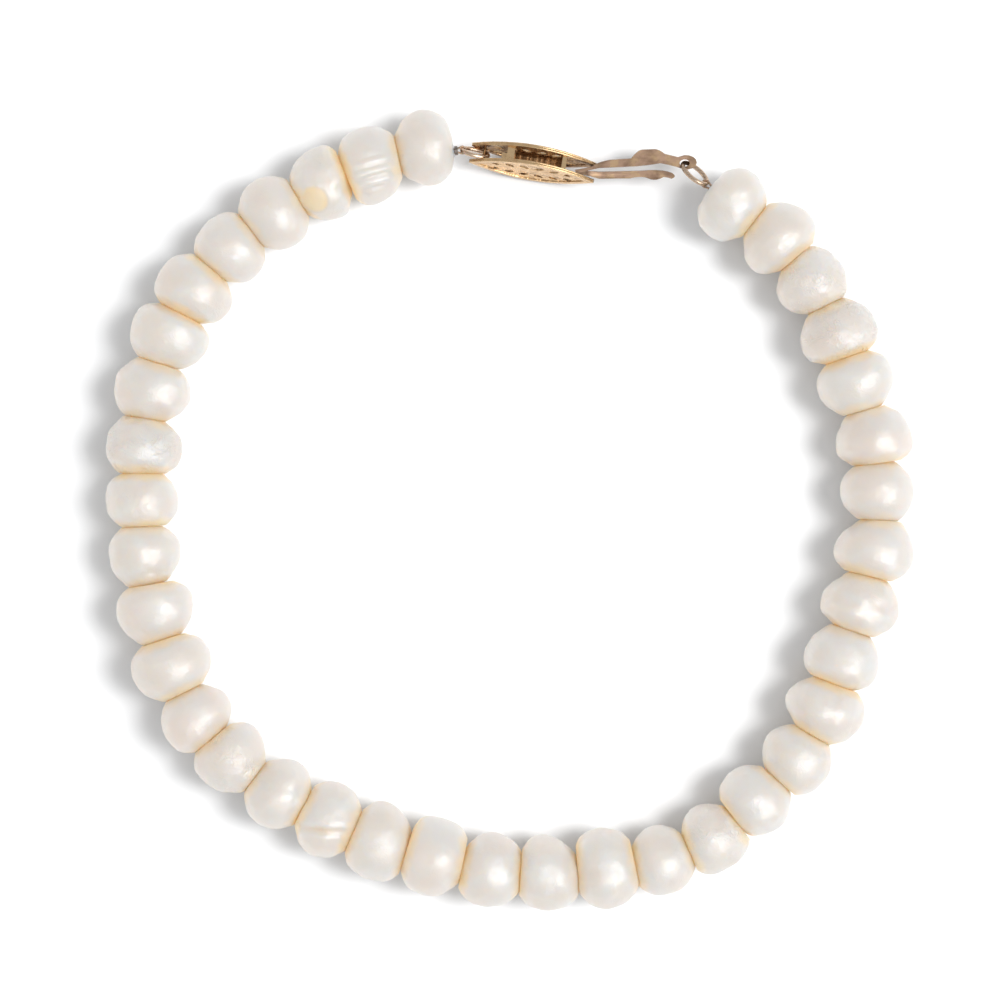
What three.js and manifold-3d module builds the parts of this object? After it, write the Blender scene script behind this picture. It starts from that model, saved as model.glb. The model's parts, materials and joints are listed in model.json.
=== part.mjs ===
// A pearl bracelet lying closed on a table: thirty-seven drilled pearls on a thread, fastened with a
// small gold hook clasp. Millimetres, +Z up, the loop round the Z axis and the clasp on the +Y side.
import * as THREE from "three";
import { mergeVertices } from "three/addons/utils/BufferGeometryUtils.js";
import Module from "manifold-3d";

const wasm = await Module();
wasm.setup();

// ---- Driving dimensions ----
const threadHeight = 2.85; // the thread's height above the table
const threadRadius = 0.2;
const boreRadius = 0.45; // the hole drilled through each pearl
const jointGap = 0.06; // between two neighbouring pearls
const legDepth = 0.5; // how far an end loop's legs reach into the last pearl's hole

const caseLength = 10.2; // between the tips of the clasp's pointed plates
const caseHeight = 4.1;
const plateSpacing = 1.4; // between the two plates' middles
const rimWidth = 0.3;
const rimThickness = 0.3;
const webThickness = 0.16;
const casePlace = new THREE.Vector3(1.85, 28.02, 2.25);
const caseTurn = -9.4; // degrees about Z
const caseRoll = -11.5; // degrees about the case's own length

const hookThickness = 0.5;
const hookPlace = new THREE.Vector3(5.2, 27.33, 2.25); // the fold, inside the case's mouth
const hookRoll = 9;

const ringWireRadius = 0.16;
const ringHalfWidth = 0.75; // of the wire's centre line, across the oval
const loopWireRadius = 0.1; // the coiled wire that covers the thread's two ends
const loopLegOffset = 0.12;
const leftLoopReach = 0.68; // from pearl_01's hole to the middle of the ring's wire
const rightLoopReach = 0.46;

// The thread's way round, from the clasp counter-clockwise: bearing in degrees and radius.
const routeRows = [
  [98.8, 29.25], [108, 29.85], [120, 30.2], [140, 31.05], [160, 30.55], [180, 29.65],
  [200, 30.0], [220, 30.4], [240, 28.9], [260, 28.9], [280, 29.8], [300, 31.1],
  [320, 30.55], [340, 29.25], [360, 29.85], [380, 29.7], [400, 30.8], [418.2, 30.6],
];

// One row per pearl, in the same order. long is its size along the thread, wide across the loop,
// tall above the table. lean tilts the joint after it, in degrees. dome moves its widest ring along
// the thread, out moves its body off the thread, and square is how blunt its ends are.
const pearlColumns = ["long", "wide", "tall", "lean", "dome", "out", "square"];
const pearlRows = [
  [4.5, 6.0, 5.6, -1, -0.05, 0.5, 2.6],
  [4.5, 6.2, 5.9, -5, 0.2, 0, 3.2],
  [4.3, 6.0, 5.7, -1, -0.2, 0.1, 3.0],
  [4.6, 6.1, 5.8, 0, -0.05, 0, 2.8],
  [4.5, 5.9, 5.6, -1, -0.05, -0.1, 3.0],
  [4.4, 6.4, 6.0, 2, 0.05, 0, 3.0],
  [4.4, 6.4, 6.0, 2, -0.2, 0.1, 3.2],
  [4.6, 6.1, 5.8, 0, -0.05, 0, 2.8],
  [4.4, 6.1, 5.8, 0, 0.1, 0, 2.8],
  [4.3, 5.8, 5.6, -1, 0, 0.1, 3.3],
  [4.7, 5.8, 5.6, 3, -0.2, 0.1, 2.8],
  [4.6, 6.3, 6.0, 0, -0.2, -0.1, 2.7],
  [4.6, 6.5, 6.1, -1, -0.1, 0, 2.9],
  [4.4, 6.0, 5.7, 4, 0.1, 0.1, 2.7],
  [4.7, 6.0, 5.8, -3, -0.2, -0.1, 2.6],
  [4.6, 6.0, 5.7, 0, 0.05, 0.1, 2.6],
  [4.5, 6.2, 5.8, 0, 0, 0.1, 3.0],
  [4.5, 6.3, 5.9, 6, -0.15, 0.1, 3.3],
  [4.7, 6.4, 6.0, -3, -0.15, -0.1, 3.3],
  [4.7, 6.0, 5.7, 1, -0.05, 0.1, 3.1],
  [4.6, 6.0, 5.8, 4, -0.2, 0, 3.0],
  [4.7, 6.4, 6.0, -3, -0.05, -0.1, 3.3],
  [4.5, 5.7, 5.5, -1, -0.1, 0.2, 2.6],
  [4.5, 5.7, 5.5, 6, -0.05, 0.1, 2.8],
  [4.7, 6.0, 5.8, -5, -0.1, -0.2, 2.6],
  [4.6, 5.9, 5.6, 0, 0, 0.1, 2.7],
  [4.5, 6.4, 6.1, 2, 0.05, 0.1, 2.7],
  [4.5, 6.1, 5.8, -3, -0.2, 0, 3.0],
  [4.6, 6.2, 5.9, 1, -0.15, 0, 2.8],
  [4.6, 6.3, 6.0, 3, -0.2, 0, 2.7],
  [4.6, 5.9, 5.7, -3, 0.05, -0.1, 2.7],
  [4.4, 6.1, 5.8, 3, -0.2, 0.2, 2.8],
  [4.5, 6.2, 5.9, 1, 0.15, 0, 2.7],
  [4.5, 6.3, 6.0, -1, -0.25, 0, 2.9],
  [4.6, 5.8, 5.6, 0, -0.05, -0.2, 2.8],
  [4.5, 6.4, 6.1, 1, -0.15, 0, 2.6],
  [4.5, 6.2, 5.9, 0, 0.05, -0.1, 2.8],
];

// ---- Materials ----
const material = (name, color, roughness, metalness) =>
  new THREE.MeshStandardMaterial({ name, color, roughness, metalness });
const pearlMaterial = material("pearl", 0xe8e2da, 0.25, 0);
const threadMaterial = material("thread", 0xd9cdb8, 0.8, 0);
const caseMaterial = material("yellow_gold", 0xd8a75c, 0.3, 1);
const hookMaterial = material("rose_gold", 0xb88a66, 0.35, 1);
const ringMaterial = material("pale_gold", 0xc99a70, 0.3, 1);
const crimpMaterial = material("dark_metal", 0x6b625c, 0.5, 1);

// ---- Geometry helpers ----
const radians = THREE.MathUtils.degToRad;
const alongZ = new THREE.Vector3(0, 0, 1);

// A closed skin over rows of points that wraps round both ways, as a drilled bead or a ring does.
function wrappedSkin(rows) {
  const rowLength = rows[0].length;
  const positions = rows.flat().flatMap((point) => point.toArray());
  const faces = [];
  rows.forEach((row, i) => {
    const here = i * rowLength;
    const next = ((i + 1) % rows.length) * rowLength;
    for (let j = 0; j < rowLength; j += 1) {
      const k = (j + 1) % rowLength;
      faces.push(here + j, next + j, next + k, here + j, next + k, here + k);
    }
  });
  const geometry = new THREE.BufferGeometry();
  geometry.setAttribute("position", new THREE.Float32BufferAttribute(positions, 3));
  geometry.setIndex(faces);
  geometry.computeVertexNormals();
  return geometry;
}

function toSolid(geometry) {
  const bare = geometry.clone();
  bare.deleteAttribute("normal");
  bare.deleteAttribute("uv");
  const merged = mergeVertices(bare, 1e-5);
  return new wasm.Manifold(new wasm.Mesh({
    numProp: 3,
    vertProperties: new Float32Array(merged.attributes.position.array),
    triVerts: new Uint32Array(merged.index.array),
  }));
}

function joined(geometries) {
  const solids = geometries.map(toSolid);
  const mesh = solids.reduce((whole, solid) => whole.add(solid)).getMesh();
  const geometry = new THREE.BufferGeometry();
  geometry.setAttribute("position", new THREE.BufferAttribute(mesh.vertProperties, 3));
  geometry.setIndex(new THREE.BufferAttribute(mesh.triVerts, 1));
  geometry.computeVertexNormals();
  return geometry;
}

// The corners of an ellipse drawn with straight sides.
function ellipseCorners(x, y, halfLength, halfHeight, turn, sides) {
  return Array.from({ length: sides }, (_, i) => {
    const angle = (2 * Math.PI * i) / sides;
    const corner = new THREE.Vector2(halfLength * Math.cos(angle), halfHeight * Math.sin(angle));
    return corner.rotateAround(new THREE.Vector2(), turn).add(new THREE.Vector2(x, y));
  });
}

function wireAlong(points, radius, steps, sides) {
  const outline = new THREE.Shape(ellipseCorners(0, 0, radius, radius, 0, sides));
  const extrudePath = new THREE.CatmullRomCurve3(points);
  return new THREE.ExtrudeGeometry(outline, { steps, extrudePath });
}

function namedMesh(name, geometry, look) {
  const mesh = new THREE.Mesh(geometry, look);
  mesh.name = name;
  mesh.rotation.order = "ZYX";
  return mesh;
}

// ---- The loop that the thread follows ----
const route = new THREE.CatmullRomCurve3(routeRows.map(([bearing, radius]) => {
  const flat = new THREE.Vector2(radius, 0).rotateAround(new THREE.Vector2(), radians(bearing));
  return new THREE.Vector3(flat.x, flat.y, threadHeight);
}));
route.arcLengthDivisions = 2000;

const pearls = pearlRows.map((row) => Object.fromEntries(row.map((value, i) => [pearlColumns[i], value])));

// The faces between pearls: a point on the thread, the thread's direction, and the way the face leans.
const stringLength = pearls.reduce((sum, pearl) => sum + pearl.long, 0);
const routeLength = route.getLength();
const joints = [{ at: (routeLength - stringLength) / 2, lean: 0 }];
for (const pearl of pearls) {
  joints.push({ at: joints.at(-1).at + pearl.long, lean: pearl.lean });
}
for (const joint of joints) {
  joint.point = route.getPointAt(joint.at / routeLength);
  joint.along = route.getTangentAt(joint.at / routeLength);
  const outward = new THREE.Vector3().crossVectors(joint.along, alongZ);
  joint.face = outward.multiplyScalar(Math.cos(radians(joint.lean)))
    .addScaledVector(joint.along, Math.sin(radians(joint.lean)));
}

// ---- Pearls ----
const pearlStations = [0.95, 0.72, 0.25]; // rings of a half pearl, as parts of its half length
const pearlSides = 12;

function pearlGeometry(pearl, before, after) {
  const stations = [...pearlStations.map((station) => -station), ...pearlStations.toReversed()];
  const sideAngle = (2 * Math.PI) / pearlSides;
  const overSize = 1 / Math.cos(sideAngle / 2); // flat sides touch the true outline
  const bodyHeight = pearl.tall / 2 - threadHeight;

  function ring(station, halfWide, halfTall, out, up) {
    const shifted = station + pearl.dome * (1 - station * station);
    const part = (1 + shifted) / 2;
    return Array.from({ length: pearlSides }, (_, j) => {
      const angle = (j + 0.5) * sideAngle;
      const outward = out + halfWide * Math.cos(angle);
      const start = before.point.clone().addScaledVector(before.face, outward)
        .addScaledVector(before.along, jointGap / 2);
      const end = after.point.clone().addScaledVector(after.face, outward)
        .addScaledVector(after.along, -jointGap / 2);
      return start.lerp(end, part).addScaledVector(alongZ, up + halfTall * Math.sin(angle));
    });
  }

  const girth = (station) => (1 - Math.abs(station) ** pearl.square) ** (1 / pearl.square);
  const widest = girth(pearlStations.at(-1));
  const body = stations.map((station) => {
    const size = (overSize / 2) * (girth(station) / widest);
    return ring(station, pearl.wide * size, pearl.tall * size, pearl.out, bodyHeight);
  });
  const bore = [-1, 1].map((station) => ring(station, boreRadius, boreRadius, 0, 0));
  return wrappedSkin([bore[0], ...body, bore[1]]);
}

const pearlMeshes = pearls.map((pearl, i) => {
  const name = `pearl_${String(i + 1).padStart(2, "0")}`;
  return namedMesh(name, pearlGeometry(pearl, joints[i], joints[i + 1]), pearlMaterial);
});

// ---- Thread ----
function makeThread() {
  const inset = legDepth + threadRadius;
  const first = joints[0].at + inset;
  const last = joints.at(-1).at - inset;
  const pointCount = 37;
  const points = Array.from({ length: pointCount + 1 }, (_, i) => {
    const at = THREE.MathUtils.lerp(first, last, i / pointCount);
    return threadPoint(at);
  });
  return namedMesh("thread", wireAlong(points, threadRadius, pointCount * 2, 6), threadMaterial);
}

// Inside a pearl the thread is straight, from one joint to the next.
function threadPoint(at) {
  const after = Math.max(1, joints.findIndex((joint) => joint.at >= at));
  const [from, to] = [joints[after - 1], joints[after]];
  return from.point.clone().lerp(to.point, (at - from.at) / (to.at - from.at));
}

// ---- Clasp case: two pierced plates, soldered to the bars between them ----
function marquise(halfLength, halfHeight) {
  const outline = new THREE.Shape();
  outline.moveTo(-halfLength, 0);
  outline.quadraticCurveTo(0, -2 * halfHeight, halfLength, 0);
  outline.quadraticCurveTo(0, 2 * halfHeight, -halfLength, 0);
  return outline;
}

// A flat plate of the given outline, standing along X and Z with its middle at the given Y.
function standingPlate(outline, thickness, middle) {
  const plate = new THREE.ExtrudeGeometry(outline, {
    depth: thickness, bevelEnabled: false, curveSegments: 12,
  });
  return plate.rotateX(Math.PI / 2).translate(0, middle + thickness / 2, 0);
}

function bar(width, height, depth, x, y, z) {
  return new THREE.BoxGeometry(width, depth, height).translate(x, y, z);
}

function pin(radius, x, z) {
  return new THREE.CylinderGeometry(radius, radius, plateSpacing, 10).translate(x, 0, z);
}

function pierced(outline) {
  const columns = [-3, -1.8, -0.6, 0.6, 1.8, 3];
  const petal = { halfLength: 0.42, halfHeight: 0.24, turn: 0.5 };
  for (const x of columns) {
    const edge = (caseHeight / 2) * (1 - (2 * x / caseLength) ** 2);
    for (const side of [-1, 1]) {
      const turn = side * Math.sign(x) * petal.turn;
      const corners = ellipseCorners(x, side * edge * 0.42, petal.halfLength, petal.halfHeight, turn, 8);
      outline.holes.push(new THREE.Path(corners));
    }
  }
  return outline;
}

function makeCase() {
  const halfLength = caseLength / 2;
  const halfHeight = caseHeight / 2;
  const rimInset = rimWidth / halfHeight;
  const pieces = [];
  for (const side of [-1, 1]) {
    const rim = marquise(halfLength, halfHeight);
    rim.holes.push(marquise(halfLength * (1 - rimInset), halfHeight * (1 - rimInset)));
    const web = pierced(marquise(halfLength * 0.97, halfHeight * 0.97));
    const middle = side * plateSpacing / 2;
    pieces.push(standingPlate(rim, rimThickness, middle));
    pieces.push(standingPlate(web, webThickness, middle));
  }
  const barDepth = plateSpacing;
  pieces.push(bar(0.6, 0.4, barDepth, -1.85, 0, 1.3));
  pieces.push(bar(0.5, 0.3, barDepth / 2, -2.3, -barDepth / 4, 1.2));
  pieces.push(bar(0.36, 0.36, barDepth, 2.5, 0, 1.15));
  pieces.push(bar(4.6, 0.25, barDepth, 0.3, 0, -0.75)); // the strip the hook's spring bears on
  pieces.push(pin(0.12, -4.0, 0));
  const mesh = namedMesh("clasp_case", joined(pieces), caseMaterial);
  mesh.position.copy(casePlace);
  mesh.rotation.set(radians(caseRoll), 0, radians(caseTurn));
  return mesh;
}

// ---- Clasp hook: a flat V whose fold sits in the case, with a thumb piece and an eye ----
const eye = { x: 9.05, y: 0.72, halfLength: 0.85, halfWidth: 0.58 };
const eyeHole = { x: 8.92, y: 0.66, halfLength: 0.42, halfWidth: 0.3 };

function hookOutline() {
  const outline = new THREE.Shape();
  outline.moveTo(0.05, 0.1);
  outline.lineTo(1.3, 0.34);
  outline.quadraticCurveTo(2.0, 0.78, 2.9, 0.92);
  outline.lineTo(4.6, 1.03);
  outline.quadraticCurveTo(5.1, 1.7, 5.5, 1.74);
  outline.lineTo(6.5, 1.78);
  outline.quadraticCurveTo(6.9, 1.76, 7.3, 1.4);
  outline.lineTo(8.4, 1.14);
  outline.absellipse(eye.x, eye.y, eye.halfLength, eye.halfWidth, radians(125), radians(-130), true, 0);
  outline.quadraticCurveTo(7.8, 0.5, 6.95, 0.65);
  outline.quadraticCurveTo(6.2, 0.5, 5.0, 0.4);
  outline.lineTo(2.0, 0.26);
  outline.lineTo(1.0, 0.04);
  outline.lineTo(2.0, -0.03);
  outline.lineTo(5.3, 0.04);
  outline.quadraticCurveTo(7.2, 0.22, 7.95, -0.15);
  outline.quadraticCurveTo(8.35, -0.45, 7.85, -0.6);
  outline.quadraticCurveTo(7.5, -0.46, 7.2, -0.47);
  outline.quadraticCurveTo(6.5, -0.86, 5.9, -0.54);
  outline.quadraticCurveTo(5.4, -0.34, 4.5, -0.57);
  outline.lineTo(2.0, -0.6);
  outline.lineTo(1.3, -0.4);
  outline.lineTo(0.15, -0.15);
  outline.closePath();
  const hole = new THREE.Path();
  hole.absellipse(eyeHole.x, eyeHole.y, eyeHole.halfLength, eyeHole.halfWidth, 0, 2 * Math.PI, false, 0);
  outline.holes.push(hole);
  return outline;
}

function makeHook() {
  const sheet = new THREE.ExtrudeGeometry(hookOutline(), {
    depth: hookThickness, bevelEnabled: false, curveSegments: 5,
  }).translate(0, 0, -hookThickness / 2);
  const catchRidge = new THREE.BoxGeometry(0.2, 0.36, 0.2).translate(1.2, -0.2, hookThickness / 2);
  const mesh = namedMesh("clasp_hook", joined([sheet, catchRidge]), hookMaterial);
  mesh.position.copy(hookPlace);
  mesh.rotation.x = radians(hookRoll);
  return mesh;
}

// ---- Oval jump rings, and the coiled loops that tie the thread to them ----
function ovalRing(name, from, to, lean) {
  const sides = 8;
  const stations = 28;
  const middle = from.clone().lerp(to, 0.5);
  const halfLength = from.distanceTo(to) / 2;
  const along = to.clone().sub(from).normalize();
  const across = alongZ.clone().addScaledVector(along, -along.z).normalize()
    .applyAxisAngle(along, radians(lean));
  const side = new THREE.Vector3().crossVectors(along, across);
  const rows = Array.from({ length: stations }, (_, i) => {
    const turn = (2 * Math.PI * i) / stations;
    const centre = middle.clone().addScaledVector(along, halfLength * Math.cos(turn))
      .addScaledVector(across, ringHalfWidth * Math.sin(turn));
    const outward = along.clone().multiplyScalar(ringHalfWidth * Math.cos(turn))
      .addScaledVector(across, halfLength * Math.sin(turn)).normalize();
    return Array.from({ length: sides }, (__, j) => {
      const angle = (2 * Math.PI * j) / sides;
      return centre.clone().addScaledVector(outward, ringWireRadius * Math.cos(angle))
        .addScaledVector(side, ringWireRadius * Math.sin(angle));
    });
  });
  return namedMesh(name, wrappedSkin(rows), ringMaterial);
}

// A loop round the ring's wire with both legs in the pearl's hole; reach is how far the wire is.
function endLoop(name, mouth, outOfPearl, reach) {
  const sideways = new THREE.Vector3().crossVectors(alongZ, outOfPearl);
  const bend = ringWireRadius + loopWireRadius + 0.03;
  const half = [
    [-legDepth, loopLegOffset], [reach - 2 * bend, loopLegOffset], [reach - 0.75 * bend, 0.7 * bend],
    [reach, bend], [reach + 0.7 * bend, 0.7 * bend],
  ];
  const tip = [reach + bend, 0];
  const back = half.map(([along, across]) => [along, -across]).reverse();
  const points = [...half, tip, ...back].map(([along, across]) =>
    mouth.clone().addScaledVector(outOfPearl, along).addScaledVector(sideways, across));
  return namedMesh(name, wireAlong(points, loopWireRadius, 30, 8), ringMaterial);
}

function endCrimp(mouth, outOfPearl) {
  const span = [0.06, 0.32];
  const radii = { inner: 0.26, outer: 0.37 };
  const sides = 12;
  const sideways = new THREE.Vector3().crossVectors(alongZ, outOfPearl);
  const corners = [
    [span[1], radii.inner], [span[1], radii.outer], [span[0], radii.outer], [span[0], radii.inner],
  ];
  const rows = corners.map(([along, radius]) => Array.from({ length: sides }, (_, j) => {
    const angle = (2 * Math.PI * j) / sides;
    return mouth.clone().addScaledVector(outOfPearl, along)
      .addScaledVector(sideways, radius * Math.cos(angle))
      .addScaledVector(alongZ, radius * Math.sin(angle));
  }));
  return namedMesh("end_crimp", wrappedSkin(rows), crimpMaterial);
}

function makeEnds() {
  const mouthLeft = joints[0].point;
  const outLeft = mouthLeft.clone().sub(joints[1].point).normalize();
  const mouthRight = joints.at(-1).point;
  const outRight = mouthRight.clone().sub(joints.at(-2).point).normalize();
  const wireLeft = mouthLeft.clone().addScaledVector(outLeft, leftLoopReach);
  const wireRight = mouthRight.clone().addScaledVector(outRight, rightLoopReach);
  const casePin = new THREE.Vector3(-3.68, 0, 0).applyAxisAngle(alongZ, radians(caseTurn)).add(casePlace);
  const hookEye = new THREE.Vector3(eyeHole.x - 0.05, eyeHole.y, 0).add(hookPlace);
  return [
    ovalRing("jump_ring_left", wireLeft, casePin, 25),
    ovalRing("jump_ring_right", hookEye, wireRight, 42),
    endLoop("end_loop_left", mouthLeft, outLeft, leftLoopReach),
    endLoop("end_loop_right", mouthRight, outRight, rightLoopReach),
    endCrimp(mouthLeft, outLeft),
  ];
}

// ---- The bracelet, with its origin at the middle of its foot ----
const bracelet = new THREE.Group();
bracelet.add(...pearlMeshes, makeThread(), makeCase(), makeHook(), ...makeEnds());
bracelet.updateMatrixWorld(true);
const bounds = new THREE.Box3().setFromObject(bracelet, true);
bracelet.position.set(
  -(bounds.min.x + bounds.max.x) / 2,
  -(bounds.min.y + bounds.max.y) / 2,
  -bounds.min.z,
);

export default bracelet;
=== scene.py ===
import json
import math

import bmesh
import bpy
from mathutils import Matrix, Vector

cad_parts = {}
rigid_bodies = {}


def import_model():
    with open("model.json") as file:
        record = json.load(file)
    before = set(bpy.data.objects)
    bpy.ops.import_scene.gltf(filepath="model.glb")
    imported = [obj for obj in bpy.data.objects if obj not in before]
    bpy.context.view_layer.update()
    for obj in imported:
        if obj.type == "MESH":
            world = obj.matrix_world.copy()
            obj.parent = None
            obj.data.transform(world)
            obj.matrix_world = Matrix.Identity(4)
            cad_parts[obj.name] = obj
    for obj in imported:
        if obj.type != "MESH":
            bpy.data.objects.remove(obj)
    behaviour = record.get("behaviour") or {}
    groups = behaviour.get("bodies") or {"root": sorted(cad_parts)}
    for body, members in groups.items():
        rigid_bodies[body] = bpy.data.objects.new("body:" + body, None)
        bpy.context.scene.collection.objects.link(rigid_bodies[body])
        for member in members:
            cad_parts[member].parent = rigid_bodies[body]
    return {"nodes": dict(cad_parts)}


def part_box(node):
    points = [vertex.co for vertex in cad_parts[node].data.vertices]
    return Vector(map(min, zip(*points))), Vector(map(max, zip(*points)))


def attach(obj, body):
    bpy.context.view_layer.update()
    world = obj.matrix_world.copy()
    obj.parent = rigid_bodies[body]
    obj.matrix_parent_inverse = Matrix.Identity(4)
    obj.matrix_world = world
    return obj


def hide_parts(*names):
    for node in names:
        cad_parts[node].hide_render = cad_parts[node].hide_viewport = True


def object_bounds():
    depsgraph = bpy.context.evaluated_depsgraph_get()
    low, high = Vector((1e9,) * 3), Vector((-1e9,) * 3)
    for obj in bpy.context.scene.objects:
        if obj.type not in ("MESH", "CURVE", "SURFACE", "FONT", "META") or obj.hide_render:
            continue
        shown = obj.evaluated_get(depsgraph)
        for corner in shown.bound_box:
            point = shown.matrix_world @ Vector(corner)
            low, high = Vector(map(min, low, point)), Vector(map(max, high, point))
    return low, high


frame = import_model()
nodes = frame["nodes"]
cadBounds = [list(corner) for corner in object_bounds()]
mm = 0.001  # every length below is written in millimetres, and every angle in degrees
pearlNames = sorted(name for name in nodes if name.startswith("pearl_"))
print("frame loaded:", len(nodes), "nodes,", len(pearlNames), "of them pearls")


# The camera looks straight down, at a point a little off the bracelet's own middle.
viewSet = {"lens": 100, "height": 227, "aim": (-0.76, 0.79)}


def makeCamera():
    camera = bpy.data.objects.new("camera", bpy.data.cameras.new("camera"))
    camera.data.lens = viewSet["lens"]
    camera.data.clip_start = 0.01
    camera.location = Vector((*viewSet["aim"], viewSet["height"])) * mm
    bpy.context.scene.collection.objects.link(camera)
    bpy.context.scene.camera = camera


makeCamera()


# Small helpers that node trees are written with.
def addNode(tree, kind, **settings):
    node = tree.nodes.new(kind)
    for name, value in settings.items():
        setattr(node, name, value)
    return node


def feed(tree, socket, value):
    if isinstance(value, bpy.types.NodeSocket):
        tree.links.new(value, socket)
    else:
        socket.default_value = value


def maths(tree, operation, *values):
    node = addNode(tree, "ShaderNodeMath", operation=operation)
    for socket, value in zip(node.inputs, values):
        feed(tree, socket, value)
    return node.outputs[0]


def vectorMaths(tree, operation, *values):
    node = addNode(tree, "ShaderNodeVectorMath", operation=operation)
    for socket, value in zip(node.inputs, values):
        feed(tree, socket, value)
    scalar = operation in ("DOT_PRODUCT", "LENGTH", "DISTANCE")
    return node.outputs["Value" if scalar else "Vector"]


def scaled(tree, vector, factor):
    node = addNode(tree, "ShaderNodeVectorMath", operation="SCALE")
    feed(tree, node.inputs[0], vector)
    feed(tree, node.inputs["Scale"], factor)
    return node.outputs["Vector"]


def smoothRange(tree, value, low, high, fromValue=0.0, toValue=1.0):
    node = addNode(tree, "ShaderNodeMapRange", interpolation_type="SMOOTHSTEP")
    for socket, given in zip(node.inputs, (value, low, high, fromValue, toValue)):
        feed(tree, socket, given)
    return node.outputs[0]


def noiseValue(tree, vector, scale, detail=2.0, roughness=0.5, distortion=0.0):
    node = addNode(tree, "ShaderNodeTexNoise")
    feed(tree, node.inputs["Vector"], vector)
    feed(tree, node.inputs["Scale"], scale)
    feed(tree, node.inputs["Detail"], detail)
    feed(tree, node.inputs["Roughness"], roughness)
    feed(tree, node.inputs["Distortion"], distortion)
    return node.outputs[0]


def mixColor(tree, factor, first, second, blend="MIX"):
    node = addNode(tree, "ShaderNodeMix", data_type="RGBA", blend_type=blend)
    feed(tree, node.inputs[0], factor)
    feed(tree, node.inputs[6], first)
    feed(tree, node.inputs[7], second)
    return node.outputs[2]


def newTree(name, kind, inlets, outlets):
    tree = bpy.data.node_groups.new(name, kind)
    for label, socketType, value in inlets:
        socket = tree.interface.new_socket(name=label, in_out="INPUT", socket_type=socketType)
        if value is not None:
            socket.default_value = value
    for label, socketType in outlets:
        tree.interface.new_socket(name=label, in_out="OUTPUT", socket_type=socketType)
    return tree, tree.nodes.new("NodeGroupInput").outputs, tree.nodes.new("NodeGroupOutput").inputs


def newMaterial(name):
    material = bpy.data.materials.new(name)
    material.use_nodes = True
    tree = material.node_tree
    shader = tree.nodes["Principled BSDF"]
    return material, tree, shader


def setShader(tree, shader, **values):
    for label, value in values.items():
        feed(tree, shader.inputs[label.replace("_", " ")], value)


def bumped(tree, shader, height, distance, strength=1.0):
    bump = addNode(tree, "ShaderNodeBump")
    feed(tree, bump.inputs["Height"], height)
    feed(tree, bump.inputs["Distance"], distance)
    feed(tree, bump.inputs["Strength"], strength)
    tree.links.new(bump.outputs["Normal"], shader.inputs["Normal"])


# Materials
nacreSet = {
    "cream": (0.71, 0.68, 0.64, 1),
    "white": (0.695, 0.71, 0.71, 1),
    "pink": (0.73, 0.68, 0.65, 1),
    "peach": (0.78, 0.70, 0.59, 1),
    "honey": (0.88, 0.73, 0.47, 1),
    # The amber is painted glow: the colour of light passing through and between the pearls, laid on the
    # crease where they meet
    "paintedGlowAmber": (0.90, 0.66, 0.34, 1),
    "speck": (0.50, 0.31, 0.14, 1),
    "paintedGlow": 0.1,  # strength of the painted amber glow, an emission where pearls meet
    "cloudScale": 330,
    "grainScale": 2600,
    "terraceScale": 900,
    "terraceCount": 6.0,
    "spotScale": 1400,
    "speckScale": 1900,
    "crinkleScale": 420,
    "roughness": (0.38, 0.54),
    "bumpHeight": 0.09,
    "ior": 2.0,
    "coat": 0.6, "coatRoughness": 0.46, "coatIor": 1.6,
    "specularTint": (0.93, 0.96, 1.0, 1),
    "coatTint": (1.0, 0.965, 0.93, 1),
    "glowDepth": 2.5,  # how far light spreads inside
    "glowRadius": (1.0, 0.76, 0.55),
}


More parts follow.
